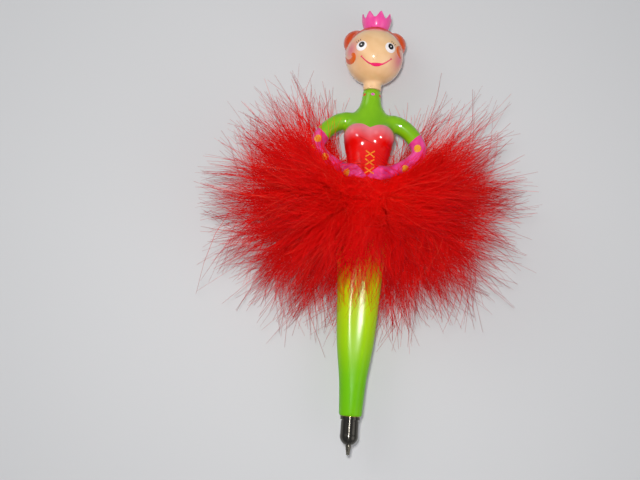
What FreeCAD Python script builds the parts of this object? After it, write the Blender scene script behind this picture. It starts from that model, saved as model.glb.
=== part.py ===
import FreeCAD, Part
import math
import os

# Novelty ballpoint pen: a moulded doll with a feather skirt, whose legs are the barrel.
# Lengths are millimetres and angles are degrees. The pen lies on its back along Y, with its
# writing tip towards -Y and its face up, towards +Z. It lies on the plane Z = 0.
# Every piece is modelled about the pen's own axis first: a station is a distance along that
# axis from the writing tip, x is across the doll and z is towards its face.

# Writing end
TIP_REACH = 4.2
BALL_RADIUS = 0.5
BALL_CLEARANCE = 0.02
BALL_SHOWS = 0.33
TIP_LIP_RADIUS = 0.62
TIP_CONE_LENGTH = 3.2
TIP_RADIUS = 1.1
TIP_CLEARANCE = 0.05
TIP_PLUG_LENGTH = 6.0
INK_CHANNEL_RADIUS = 0.35
NOSE_LIP = 0.4
NOSE_ROUND_LENGTH = 3.9
NOSE_ROUND_SWELL = 0.86
NOSE_LAND_RADIUS = 3.45
NOSE_LAND_LENGTH = 5.0
NOSE_GROOVE_WIDTH = 0.5
NOSE_GROOVE_DEPTH = 0.3
NOSE_COLLAR_RADIUS = 3.8
NOSE_COLLAR_LENGTH = 1.2
NOSE_SHANK_RADIUS = 2.7
NOSE_SHANK_LENGTH = 6.5
THREAD_CLEARANCE = 0.05

# Refill and what guides it
REFILL_RADIUS = 1.5
REFILL_WALL = 0.45
REFILL_LENGTH = 78.0
REFILL_CLEARANCE = 0.15
REFILL_SHOULDER = 1.4
INK_LENGTH = 52.0
INK_CLEARANCE = 0.02
BORE_FLOOR = 5.8
GUIDE_WALL = 0.6
INSERT_WALL = 0.7
INSERT_LENGTH = 8.0
INSERT_RING_DEPTH = 0.25
BOND_GAP = 0.05
END_GAP = 0.3

# Legs, which are the barrel; places along them run from 0 at the ankle to 1 at the waist
WAIST_RADIUS = 7.6
WAIST_LAND = 3.0
WAIST_STEP = 0.15
ANKLE_RADIUS = 4.45
ANKLE_EDGE = 0.35
CALF_HALF_WIDTH = 6.8
CALF_PLACE = 0.284
KNEE_HALF_WIDTH = 8.05
KNEE_PLACE = 0.46
HIP_HALF_WIDTH = 10.5
HIP_PLACE = 0.859
LEG_DEPTH_SHARE = 0.85
LEG_GROOVE_DEPTH = 1.15
LEG_RINGS = 28
PEG_RADIUS = 3.6
PEG_LENGTH = 10.0

# Upper body; heights are above the waist joint
COLLAR_HEIGHT = 45.8
NECK_RADIUS = 3.7
NARROW_HEIGHT = 11.0
NARROW_HALF_WIDTH = 7.2
NARROW_HALF_DEPTH = 6.1
BUST_HEIGHT = 27.0
BUST_HALF_WIDTH = 10.2
BUST_HALF_DEPTH = 6.6
BUST_RADIUS = 5.3
BUST_SPACING = 9.8
BUST_REACH = 8.0
SHOULDER_HEIGHT = 35.5
SHOULDER_HALF_WIDTH = 7.2
SHOULDER_HALF_DEPTH = 4.8
TORSO_RINGS = 26
BODICE_RELIEF = 0.25
BODICE_NOTCH_HEIGHT = 28.6
BODICE_LOBE_RISE = 1.3
BODICE_SIDE_DROP = 3.2
BODICE_TOP_HEIGHT = BODICE_NOTCH_HEIGHT + BODICE_LOBE_RISE
BODICE_SIDE_HEIGHT = BODICE_NOTCH_HEIGHT - BODICE_SIDE_DROP
ARM_RADIUS = 3.25
ARM_RINGS = 14
ARM_BOW = 4.7
FOREARM_BOW = 1.5
ELBOW_REACH = 20.8
ELBOW_HEIGHT = 20.6
WRIST_RADIUS = 2.1
WRIST_REACH = 9.2
WRIST_FRONT = 2.8
HAND_HEIGHT = 10.4
PALM_RADIUS = 1.6
PALM_PITCH = 2.8
KNUCKLE_REACH = 5.9
FINGER_RADIUS = 0.72
FINGER_PITCH = 1.5
FINGER_REACH = 2.3
NECK_PEG_RADIUS = 2.1
NECK_PEG_LENGTH = 8.0

# Head and crown
HEAD_RADIUS = 11.85
NECK_STUB_LENGTH = 2.5
NECK_FILLET = 1.5
HAIR_RELIEF = 0.4
HAIRLINE_TILT = 40.0
HAIRLINE_ANGLE = 27.5
BUN_RADIUS = 5.4
BUN_ACROSS = 7.6
BUN_UP = 6.6
BUN_BACK = 2.7
CROWN_FOOT_RADIUS = 4.7
CROWN_RIM_RADIUS = 6.3
CROWN_HEIGHT = 6.6
CROWN_WALL = 0.9
CROWN_FLOOR = 1.8
CROWN_POINTS = 8
CROWN_POINT_WIDTH = 0.7
CROWN_NOTCH_DEPTH = 2.5
CROWN_VALLEY_RADIUS = 0.7
CROWN_BELLY = 0.66
CROWN_TURN = 13.0
CROWN_PEG_RADIUS = 1.8
CROWN_PEG_LENGTH = 3.0
CROWN_CLEARANCE = 0.02

# Feather skirt: plumes bound to a cord round the waist, in rows from the surface upwards
CORD_RADIUS = 0.9
CORD_SIDES = 8
QUILL_GAP = 0.3
QUILL_SHARE = 0.3
TUFT_WIDTH = 3.6
TUFT_THICKNESS = 1.4
TUFT_LENGTH = 23.0
TUFT_POINT_SHARE = 0.07
TUFT_SPREAD = 22.0
TUFT_ROW_SHARE = 0.62
TUFTS_PER_SIDE = 3
PLUME_REACH = 64.0
REACH_FALL = 0.22
REACH_VARIATION = 0.05
BEND_SHARE = 0.14
BEND_LAP = 0.12
LEVEL_ANGLE = 8.5
LEVEL_LIFT = 2.0
FLOOR_GAP = 0.1

AXIS = FreeCAD.Vector(0, 1, 0)
UP = FreeCAD.Vector(0, 0, 1)
CENTRE = FreeCAD.Vector(0, 0, 0)

# Worked out from the driving dimensions
NOSE_LAND_STATION = TIP_REACH + NOSE_ROUND_LENGTH
NOSE_GROOVE_STATION = NOSE_LAND_STATION + NOSE_LAND_LENGTH
NOSE_COLLAR_STATION = NOSE_GROOVE_STATION + NOSE_GROOVE_WIDTH
ANKLE_STATION = NOSE_COLLAR_STATION + NOSE_COLLAR_LENGTH
REFILL_STATION = TIP_REACH + REFILL_SHOULDER
REFILL_END = REFILL_STATION + REFILL_LENGTH
BORE_END = REFILL_END + END_GAP
WAIST_STATION = BORE_END + BORE_FLOOR + END_GAP + PEG_LENGTH
REFILL_BORE = REFILL_RADIUS - REFILL_WALL
GUIDE_BORE = REFILL_RADIUS + REFILL_CLEARANCE
GUIDE_RADIUS = GUIDE_BORE + GUIDE_WALL
INSERT_BORE = NOSE_SHANK_RADIUS + THREAD_CLEARANCE
INSERT_RADIUS = INSERT_BORE + INSERT_WALL
INSERT_END = ANKLE_STATION + INSERT_LENGTH
NARROW_STATION = WAIST_STATION + NARROW_HEIGHT
BUST_STATION = WAIST_STATION + BUST_HEIGHT
SHOULDER_STATION = WAIST_STATION + SHOULDER_HEIGHT
COLLAR_STATION = WAIST_STATION + COLLAR_HEIGHT
ELBOW_STATION = WAIST_STATION + ELBOW_HEIGHT
HAND_STATION = WAIST_STATION + HAND_HEIGHT
HEAD_STATION = COLLAR_STATION + NECK_STUB_LENGTH + HEAD_RADIUS
HAIR_RADIUS = HEAD_RADIUS + HAIR_RELIEF
CROWN_STATION = HEAD_STATION + math.sqrt(HAIR_RADIUS**2 - CROWN_FOOT_RADIUS**2)
OVERALL_LENGTH = CROWN_STATION + CROWN_HEIGHT
AXIS_HEIGHT = HAIR_RADIUS
CORD_RING_RADIUS = WAIST_RADIUS + BOND_GAP + CORD_RADIUS
TO_ROW_FRAME = FreeCAD.Vector(0, -OVERALL_LENGTH / 2, AXIS_HEIGHT)


def at(x, station, z=0.0):
    """A point across, along and in front of the pen's axis."""
    return FreeCAD.Vector(x, station, z)


def between(low, high, share):
    """The value that lies this share of the way from low to high."""
    return low + (high - low) * share


def turned(outline):
    """A solid turned about the pen's axis from corners given as (radius, station)."""
    corners = [at(radius, station) for radius, station in outline]
    face = Part.Face(Part.makePolygon(corners + corners[:1]))
    return face.revolve(CENTRE, AXIS, 360)


def rod(radius, start, end):
    """A round bar on the pen's axis."""
    return Part.makeCylinder(radius, end - start, at(0, start), AXIS)


def tube(bore, radius, start, end):
    """A round tube on the pen's axis."""
    return rod(radius, start, end).cut(rod(bore, start, end))


def ball(radius, centre):
    """A sphere about a point."""
    return Part.makeSphere(radius, centre)


def spline_ring(points):
    """A closed smooth wire through the points, in two halves so that a skin has two faces."""
    curve = Part.BSplineCurve()
    curve.interpolate(Points=points, PeriodicFlag=True)
    start = curve.FirstParameter
    end = curve.LastParameter
    middle = curve.parameter(points[len(points) // 2])
    return Part.Wire([curve.toShape(start, middle), curve.toShape(middle, end)])


def oval(station, half_width, half_depth, groove=0.0, count=12):
    """A section across the body: an ellipse, pinched in front and behind by the groove."""
    points = []
    for i in range(count):
        angle = 2 * math.pi * i / count
        x = half_width * math.cos(angle)
        pinch = groove * math.exp(-((x / (0.4 * half_width)) ** 2))
        points.append(at(x, station, (half_depth - pinch) * math.sin(angle)))
    return spline_ring(points)


def smooth_between(rows, count):
    """Evenly many (station, half width, half depth) rows on a smooth curve through the given ones."""
    curve = Part.BSplineCurve()
    curve.interpolate(Points=[FreeCAD.Vector(*row) for row in rows])
    start = curve.FirstParameter
    end = curve.LastParameter
    return [curve.value(between(start, end, i / (count - 1))) for i in range(count)]


def skin_over(sections):
    """A solid skinned over many closed sections."""
    return Part.makeLoft(sections, True, True)


def writing_ball():
    """The ball that rolls in the tip of the refill."""
    return ball(BALL_RADIUS, at(0, BALL_RADIUS))


def refill_tip():
    """The turned tip: a cone with the ball's cup, a shank, and a plug that fits in the tube."""
    plug = REFILL_BORE - INK_CLEARANCE
    body = turned([
        (0, BALL_SHOWS),
        (TIP_LIP_RADIUS, BALL_SHOWS),
        (TIP_RADIUS, BALL_SHOWS + TIP_CONE_LENGTH),
        (TIP_RADIUS, REFILL_STATION),
        (plug, REFILL_STATION),
        (plug, REFILL_STATION + TIP_PLUG_LENGTH),
        (0, REFILL_STATION + TIP_PLUG_LENGTH),
    ])
    cup = ball(BALL_RADIUS + BALL_CLEARANCE, at(0, BALL_RADIUS))
    channel = rod(INK_CHANNEL_RADIUS, BALL_RADIUS, REFILL_STATION + TIP_PLUG_LENGTH)
    return body.cut(cup.fuse(channel))


def refill_tube():
    """The plastic tube that holds the ink."""
    return tube(REFILL_BORE, REFILL_RADIUS, REFILL_STATION, REFILL_END)


def ink_column():
    """The ink that stands in the tube behind the tip."""
    start = REFILL_STATION + TIP_PLUG_LENGTH
    return rod(REFILL_BORE - INK_CLEARANCE, start, start + INK_LENGTH)


def nose_cone():
    """The turned nose: rounded mouth, straight land, groove, collar and screwed shank."""
    mouth = TIP_RADIUS + TIP_CLEARANCE
    lip = mouth + NOSE_LIP
    groove = NOSE_LAND_RADIUS - NOSE_GROOVE_DEPTH
    shank_end = ANKLE_STATION + NOSE_SHANK_LENGTH
    swell = at(between(lip, NOSE_LAND_RADIUS, NOSE_ROUND_SWELL),
               between(TIP_REACH, NOSE_LAND_STATION, 0.42))
    rounding = Part.Arc(at(lip, TIP_REACH), swell, at(NOSE_LAND_RADIUS, NOSE_LAND_STATION))
    corners = [
        (NOSE_LAND_RADIUS, NOSE_LAND_STATION),
        (NOSE_LAND_RADIUS, NOSE_GROOVE_STATION),
        (groove, NOSE_GROOVE_STATION),
        (groove, NOSE_COLLAR_STATION),
        (NOSE_COLLAR_RADIUS, NOSE_COLLAR_STATION),
        (NOSE_COLLAR_RADIUS, ANKLE_STATION),
        (NOSE_SHANK_RADIUS, ANKLE_STATION),
        (NOSE_SHANK_RADIUS, shank_end),
        (GUIDE_BORE, shank_end),
        (GUIDE_BORE, REFILL_STATION - TIP_CLEARANCE),
        (mouth, REFILL_STATION - TIP_CLEARANCE),
        (mouth, TIP_REACH),
        (lip, TIP_REACH),
    ]
    straight = Part.makePolygon([at(radius, station) for radius, station in corners])
    outline = Part.Wire([rounding.toShape()] + straight.Edges)
    return Part.Face(outline).revolve(CENTRE, AXIS, 360)


def thread_insert():
    """The brass insert in the ankle that the nose screws into, with two holding grooves."""
    insert = tube(INSERT_BORE, INSERT_RADIUS, ANKLE_STATION, INSERT_END)
    ring_width = INSERT_LENGTH / 8
    for share in (0.3, 0.6):
        start = between(ANKLE_STATION, INSERT_END, share)
        inner = INSERT_RADIUS - INSERT_RING_DEPTH
        insert = insert.cut(tube(inner, INSERT_RADIUS + 1, start, start + ring_width))
    return insert


def guide_tube():
    """The plastic tube in the legs that the refill slides into."""
    return tube(GUIDE_BORE, GUIDE_RADIUS, INSERT_END, BORE_END)


def legs_barrel():
    """Both legs in one moulding, from the ankle to the waist, bored for the insert and tube."""
    calf = between(ANKLE_STATION, WAIST_STATION, CALF_PLACE)
    knee = between(ANKLE_STATION, WAIST_STATION, KNEE_PLACE)
    hip = between(ANKLE_STATION, WAIST_STATION, HIP_PLACE)
    ankle_land = between(ANKLE_STATION, calf, 0.25)
    shin = between(ANKLE_STATION, calf, 0.6)
    thigh = between(knee, hip, 0.4)
    seat = between(knee, hip, 0.72)
    thigh_half = between(KNEE_HALF_WIDTH, HIP_HALF_WIDTH, 0.3)
    seat_half = between(KNEE_HALF_WIDTH, HIP_HALF_WIDTH, 0.76)
    shin_half = between(ANKLE_RADIUS, CALF_HALF_WIDTH, 0.42)
    land_start = WAIST_STATION - WAIST_LAND
    upper = between(hip, land_start, 0.6)
    upper_half = between(HIP_HALF_WIDTH, WAIST_RADIUS, 0.42)
    rows = smooth_between([
        (ANKLE_STATION, ANKLE_RADIUS, ANKLE_RADIUS),
        (ankle_land, ANKLE_RADIUS * 1.08, ANKLE_RADIUS * 1.07),
        (shin, shin_half, shin_half * 0.96),
        (calf, CALF_HALF_WIDTH, CALF_HALF_WIDTH * 0.9),
        (knee, KNEE_HALF_WIDTH, KNEE_HALF_WIDTH * LEG_DEPTH_SHARE),
        (thigh, thigh_half, thigh_half * LEG_DEPTH_SHARE),
        (seat, seat_half, seat_half * LEG_DEPTH_SHARE),
        (hip, HIP_HALF_WIDTH, HIP_HALF_WIDTH * LEG_DEPTH_SHARE),
        (upper, upper_half, between(upper_half * LEG_DEPTH_SHARE, WAIST_RADIUS, 0.4)),
        (land_start, WAIST_RADIUS - WAIST_STEP, WAIST_RADIUS - WAIST_STEP),
    ], LEG_RINGS)
    sections = []
    for row in rows:
        share = (row.x - ANKLE_STATION) / (land_start - ANKLE_STATION)
        sections.append(oval(row.x, row.y, row.z, LEG_GROOVE_DEPTH * math.sin(math.pi * share) ** 2))
    legs = skin_over(sections).fuse(rod(WAIST_RADIUS, land_start - WAIST_STEP, WAIST_STATION))
    foot = [e for e in legs.Edges if e.BoundBox.YMax < ANKLE_STATION + 0.1]
    legs = legs.makeFillet(ANKLE_EDGE, foot)
    legs = legs.cut(rod(INSERT_RADIUS + BOND_GAP, ANKLE_STATION - 1, INSERT_END))
    legs = legs.cut(rod(GUIDE_RADIUS + BOND_GAP, INSERT_END, BORE_END))
    socket_floor = WAIST_STATION - PEG_LENGTH - END_GAP
    return legs.cut(rod(PEG_RADIUS + BOND_GAP, socket_floor, WAIST_STATION + 1))


def torso(relief=0.0):
    """The torso from the waist joint to the collar, its waist and bust larger by the relief."""
    land_end = WAIST_STATION + WAIST_LAND
    rib = between(NARROW_STATION, BUST_STATION, 0.3)
    chest = between(NARROW_STATION, BUST_STATION, 0.62)
    arm_pit = between(BUST_STATION, SHOULDER_STATION, 0.62)
    nape = between(SHOULDER_STATION, COLLAR_STATION, 0.3)
    throat = between(SHOULDER_STATION, COLLAR_STATION, 0.63)
    rows = smooth_between([
        (WAIST_STATION, WAIST_RADIUS, WAIST_RADIUS),
        (land_end, WAIST_RADIUS, WAIST_RADIUS),
        (between(land_end, NARROW_STATION, 0.5),
         between(WAIST_RADIUS, NARROW_HALF_WIDTH, 0.6), between(WAIST_RADIUS, NARROW_HALF_DEPTH, 0.66)),
        (NARROW_STATION, NARROW_HALF_WIDTH, NARROW_HALF_DEPTH),
        (rib, between(NARROW_HALF_WIDTH, BUST_HALF_WIDTH, 0.25),
         between(NARROW_HALF_DEPTH, BUST_HALF_DEPTH, 0.2)),
        (chest, between(NARROW_HALF_WIDTH, BUST_HALF_WIDTH, 0.68),
         between(NARROW_HALF_DEPTH, BUST_HALF_DEPTH, 0.7)),
        (BUST_STATION, BUST_HALF_WIDTH, BUST_HALF_DEPTH),
        (arm_pit, between(BUST_HALF_WIDTH, SHOULDER_HALF_WIDTH, 0.2),
         between(BUST_HALF_DEPTH, SHOULDER_HALF_DEPTH, 0.55)),
        (SHOULDER_STATION, SHOULDER_HALF_WIDTH, SHOULDER_HALF_DEPTH),
        (nape, between(SHOULDER_HALF_WIDTH, NECK_RADIUS, 0.66),
         between(SHOULDER_HALF_DEPTH, NECK_RADIUS, 0.6)),
        (throat, NECK_RADIUS * 1.07, NECK_RADIUS * 1.05),
        (COLLAR_STATION, NECK_RADIUS, NECK_RADIUS),
    ], TORSO_RINGS)
    return skin_over([oval(row.x, row.y + relief, row.z + relief) for row in rows])


def bust(relief=0.0):
    """The two rounded halves of the bust."""
    radius = BUST_RADIUS + relief
    depth = BUST_REACH - BUST_RADIUS
    halves = [ball(radius, at(side * BUST_SPACING / 2, BUST_STATION - 1.2, depth)) for side in (-1, 1)]
    return halves[0].fuse(halves[1])


def bodice():
    """The dress top: a raised skin over the torso, cut to a heart-shaped neckline."""
    side = BUST_HALF_WIDTH + BODICE_RELIEF + 0.15
    deep = 2 * BUST_REACH
    hem = WAIST_STATION + WAIST_LAND / 2
    lobe = BUST_SPACING / 2 + 0.3
    top = WAIST_STATION + BODICE_TOP_HEIGHT
    notch = WAIST_STATION + BODICE_NOTCH_HEIGHT
    edge = WAIST_STATION + BODICE_SIDE_HEIGHT
    outline = Part.Wire([
        Part.makeLine(at(side, hem, -deep), at(side, edge, -deep)),
        Part.Arc(at(side, edge, -deep), at(lobe, top, -deep),
                 at(0, notch, -deep)).toShape(),
        Part.Arc(at(0, notch, -deep), at(-lobe, top, -deep),
                 at(-side, edge, -deep)).toShape(),
        Part.makeLine(at(-side, edge, -deep), at(-side, hem, -deep)),
        Part.makeLine(at(-side, hem, -deep), at(side, hem, -deep)),
    ])
    cutter = Part.Face(outline).extrude(UP * (2 * deep))
    return torso(BODICE_RELIEF).fuse(bust(BODICE_RELIEF)).common(cutter)


def arm(side):
    """One arm, bent at the elbow, which ends in the wrist beside the waist."""
    shoulder = at(side * BUST_HALF_WIDTH * 0.66, between(BUST_STATION, SHOULDER_STATION, 0.6), -0.4)
    elbow = at(side * ELBOW_REACH, ELBOW_STATION, 0.2)
    wrist = at(side * WRIST_REACH, HAND_STATION + 1.2, WRIST_FRONT)
    bone = Part.BSplineCurve()
    bone.interpolate(Points=[
        shoulder,
        shoulder + (elbow - shoulder) * 0.36 + at(0, ARM_BOW * 0.85),
        shoulder + (elbow - shoulder) * 0.66 + at(0, ARM_BOW),
        elbow + at(-side * ARM_RADIUS * 0.28, ARM_BOW * 0.77),
        elbow,
        elbow + (wrist - elbow) * 0.18 - at(0, FOREARM_BOW),
        elbow + (wrist - elbow) * 0.58 - at(0, FOREARM_BOW * 0.8),
        wrist,
    ])
    rings = []
    for i in range(ARM_RINGS):
        share = i / (ARM_RINGS - 1)
        if share < 0.5:
            radius = between(ARM_RADIUS, ARM_RADIUS * 1.2, (1 - 2 * share) ** 2)
        else:
            radius = between(ARM_RADIUS, WRIST_RADIUS, (2 * share - 1) ** 1.3)
        place = between(bone.FirstParameter, bone.LastParameter, share)
        centre = bone.value(place)
        along = bone.tangent(place)[0]
        across = along.cross(UP).normalize() * radius
        lift = across.cross(along)
        turns = [2 * math.pi * k / 8 for k in range(8)]
        rings.append(spline_ring([
            centre + across * math.cos(turn) + lift * math.sin(turn) for turn in turns
        ]))
    return skin_over(rings)


def capsule(radius, start, end):
    """A round-ended bar between two points."""
    half = (end - start).Length / 2
    outline = Part.Wire([
        Part.Arc(at(0, 0, -half - radius), at(radius * math.sqrt(0.5), 0, -half - radius * math.sqrt(0.5)),
                 at(radius, 0, -half)).toShape(),
        Part.makeLine(at(radius, 0, -half), at(radius, 0, half)),
        Part.Arc(at(radius, 0, half), at(radius * math.sqrt(0.5), 0, half + radius * math.sqrt(0.5)),
                 at(0, 0, half + radius)).toShape(),
        Part.makeLine(at(0, 0, half + radius), at(0, 0, -half - radius)),
    ])
    bar = Part.Face(outline).revolve(CENTRE, UP, 360)
    bar.Placement = FreeCAD.Placement((start + end) * 0.5, FreeCAD.Rotation(UP, end - start))
    return bar


def hand(side):
    """Palm and four fingers, which lie across the front of the waist and point inwards."""
    knuckle_front = between(WRIST_FRONT, NARROW_HALF_DEPTH, 0.75)
    pieces = []
    for row in (-1, 1):
        heel = at(side * WRIST_REACH, HAND_STATION + 1.2 + row * PALM_PITCH * 0.35, WRIST_FRONT)
        palm_end = at(side * KNUCKLE_REACH, HAND_STATION + row * PALM_PITCH / 2, knuckle_front)
        pieces.append(capsule(PALM_RADIUS, heel, palm_end))
    for k, share in enumerate((0.9, 1.0, 0.98, 0.86)):
        row = k - 1.5
        knuckle = at(side * KNUCKLE_REACH, HAND_STATION + row * FINGER_PITCH * 0.9, knuckle_front + 0.2)
        reach = between(KNUCKLE_REACH, FINGER_REACH, share)
        tip = at(side * reach, HAND_STATION + row * FINGER_PITCH, NARROW_HALF_DEPTH + FINGER_RADIUS * 0.7)
        pieces.append(capsule(FINGER_RADIUS, knuckle, tip))
    return pieces


def upper_body():
    """Neck, torso, bodice, arms and hands in one moulding, with a peg at each end."""
    body = torso().fuse(bust()).fuse(bodice())
    for side in (-1, 1):
        body = body.fuse(arm(side))
        for piece in hand(side):
            body = body.fuse(piece)
    body = body.fuse(rod(PEG_RADIUS, WAIST_STATION - PEG_LENGTH, WAIST_STATION + 1))
    return body.fuse(rod(NECK_PEG_RADIUS, COLLAR_STATION - 1, COLLAR_STATION + NECK_PEG_LENGTH))


def head():
    """Ball head with its neck stub, raised hair cap and two buns, bored for neck and crown."""
    centre = at(0, HEAD_STATION)
    skull = ball(HEAD_RADIUS, centre).fuse(rod(NECK_RADIUS, COLLAR_STATION, HEAD_STATION))
    chin = COLLAR_STATION + NECK_STUB_LENGTH + 2
    throat = [e for e in skull.Edges
              if COLLAR_STATION + 0.1 < e.BoundBox.YMin and e.BoundBox.YMax < chin
              and e.BoundBox.XLength > NECK_RADIUS]
    skull = skull.makeFillet(NECK_FILLET, throat)
    angle = math.radians(HAIRLINE_ANGLE)
    tilt = math.radians(HAIRLINE_TILT)
    front = centre + at(0, math.cos(angle), math.sin(angle)) * HEAD_RADIUS
    normal = at(0, math.sin(tilt), -math.cos(tilt))
    reach = 3 * HEAD_RADIUS
    plane = Part.Face(Part.makePolygon([
        front + at(x, y * math.cos(tilt), y * math.sin(tilt))
        for x, y in ((-reach, -reach), (reach, -reach), (reach, reach), (-reach, reach), (-reach, -reach))
    ]))
    hair = ball(HAIR_RADIUS, centre).common(plane.extrude(normal * reach))
    buns = [ball(BUN_RADIUS, centre + at(side * BUN_ACROSS, BUN_UP, -BUN_BACK)) for side in (-1, 1)]
    whole = skull.multiFuse([hair] + buns)
    neck_floor = COLLAR_STATION + NECK_PEG_LENGTH + END_GAP
    neck_hole = rod(NECK_PEG_RADIUS + BOND_GAP, COLLAR_STATION - 1, neck_floor)
    peg_floor = HEAD_STATION + HAIR_RADIUS - CROWN_PEG_LENGTH - END_GAP
    crown_hole = rod(CROWN_PEG_RADIUS + BOND_GAP, peg_floor, OVERALL_LENGTH)
    return whole.cut(neck_hole.fuse(crown_hole))


def crown():
    """A tulip-shaped cup with a ring of points, whose foot fits the head and is pegged into it."""
    rim = CROWN_STATION + CROWN_HEIGHT
    floor = CROWN_STATION + CROWN_FLOOR
    foot = HEAD_STATION + HEAD_RADIUS * 0.8
    belly = between(CROWN_FOOT_RADIUS, CROWN_RIM_RADIUS, CROWN_BELLY)
    waist = between(CROWN_STATION, rim, 0.4)
    outer = Part.Arc(at(CROWN_FOOT_RADIUS, CROWN_STATION), at(belly, waist), at(CROWN_RIM_RADIUS, rim))
    inner = Part.Arc(at(CROWN_RIM_RADIUS - CROWN_WALL, rim), at(belly - CROWN_WALL, waist),
                     at(CROWN_FOOT_RADIUS - CROWN_WALL / 2, floor))
    outline = Part.Wire([
        outer.toShape(),
        Part.makeLine(at(CROWN_RIM_RADIUS, rim), at(CROWN_RIM_RADIUS - CROWN_WALL, rim)),
        inner.toShape(),
        Part.makeLine(at(CROWN_FOOT_RADIUS - CROWN_WALL / 2, floor), at(0, floor)),
        Part.makeLine(at(0, floor), at(0, foot)),
        Part.makeLine(at(0, foot), at(CROWN_FOOT_RADIUS, foot)),
        Part.makeLine(at(CROWN_FOOT_RADIUS, foot), at(CROWN_FOOT_RADIUS, CROWN_STATION)),
    ])
    cup = Part.Face(outline).revolve(CENTRE, AXIS, 360)
    pitch = 2 * math.pi * CROWN_RIM_RADIUS / CROWN_POINTS
    half = (pitch - CROWN_POINT_WIDTH) / 2
    valley = rim - CROWN_NOTCH_DEPTH
    shoulder = valley + CROWN_VALLEY_RADIUS * 0.6
    notch = Part.Wire([
        Part.makeLine(at(-half, rim + 1), at(-half, rim)),
        Part.makeLine(at(-half, rim), at(-CROWN_VALLEY_RADIUS, shoulder)),
        Part.Arc(at(-CROWN_VALLEY_RADIUS, shoulder), at(0, valley),
                 at(CROWN_VALLEY_RADIUS, shoulder)).toShape(),
        Part.makeLine(at(CROWN_VALLEY_RADIUS, shoulder), at(half, rim)),
        Part.makeLine(at(half, rim), at(half, rim + 1)),
        Part.makeLine(at(half, rim + 1), at(-half, rim + 1)),
    ])
    cutter = Part.Face(notch).extrude(UP * (2 * CROWN_RIM_RADIUS))
    for k in range(CROWN_POINTS):
        bite = cutter.copy()
        bite.rotate(CENTRE, AXIS, CROWN_TURN + 360 * (k + 0.5) / CROWN_POINTS)
        cup = cup.cut(bite)
    cup = cup.cut(ball(HAIR_RADIUS + CROWN_CLEARANCE, at(0, HEAD_STATION)))
    peg_end = HEAD_STATION + HAIR_RADIUS - CROWN_PEG_LENGTH
    return cup.fuse(rod(CROWN_PEG_RADIUS, peg_end, floor - 0.1))


def skirt_cord():
    """The tightly twisted cord that the plumes are bound to, tied round the waist joint."""
    turns = [2 * math.pi * (k + 0.5) / CORD_SIDES for k in range(CORD_SIDES)]
    return turned([
        (CORD_RING_RADIUS + CORD_RADIUS * math.cos(turn), WAIST_STATION + CORD_RADIUS * math.sin(turn))
        for turn in turns
    ])


def tuft(root, along, across, length, root_share):
    """A straight clump of barbs: diamond in section, widest half way and pointed."""
    lift = along.cross(across)
    rings = []
    for share, size in ((0.0, root_share), (0.5, 1.0), (1.0, TUFT_POINT_SHARE)):
        centre = root + along * (length * share)
        half_width = across * (TUFT_WIDTH * size / 2)
        half_thickness = lift * (TUFT_THICKNESS * size / 2)
        corners = [centre + half_width, centre + half_thickness, centre - half_width, centre - half_thickness]
        rings.append(corners + corners[:1])
    outlines = [rings[0], rings[-1]]
    for near, far in zip(rings, rings[1:]):
        for i in range(4):
            outlines.append([near[i], near[i + 1], far[i + 1], far[i], near[i]])
    return Part.Solid(Part.Shell([Part.Face(Part.makePolygon(outline)) for outline in outlines]))


def plume(root, knee, tip):
    """One feather: two tufts end to end that bend at the knee, and side tufts that fan forwards."""
    pieces = []
    lap = knee - (tip - knee) * BEND_LAP
    for start, end, root_share in ((root, knee, QUILL_SHARE), (lap, tip, QUILL_SHARE * 1.5)):
        along = (end - start).normalize()
        across = along.cross(UP).normalize()
        pieces.append(tuft(start, along, across, start.distanceToPoint(end), root_share))
    forward = (tip - knee).normalize()
    across = forward.cross(UP).normalize()
    spread = math.radians(TUFT_SPREAD)
    for k in range(TUFTS_PER_SIDE):
        for side in (-1, 1):
            start = knee + (tip - knee) * (TUFT_ROW_SHARE * (k + 0.25 * (side + 1)) / TUFTS_PER_SIDE)
            along = forward * math.cos(spread) + across * (side * math.sin(spread))
            sideways = across * math.cos(spread) - forward * (side * math.sin(spread))
            pieces.append(tuft(start, along, sideways, TUFT_LENGTH * (1 - 0.1 * k), QUILL_SHARE * 1.2))
    return pieces[0].multiFuse(pieces[1:])


# Each row of plumes: angle round the waist where the quills leave the cord, how far that angle
# falls towards the ends of the row, elevation of the plumes, share of the reach, and headings
ROWS = {
    "ground": (-20.0, -50.0, 0.0, 1.0, (-80.0, -54.0, -29.0, -4.0, 21.0, 46.0)),
    "low": (6.0, -12.0, 15.0, 0.97, (-54.0, -27.0, 0.0, 29.0)),
    "middle": (34.0, 16.0, 32.0, 0.9, (-52.0, -14.0, 28.0)),
    "high": (60.0, 8.0, 49.0, 0.78, (-54.0, -10.0)),
    "front": (84.0, 0.0, 17.0, 0.72, (-78.0,)),
}


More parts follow.
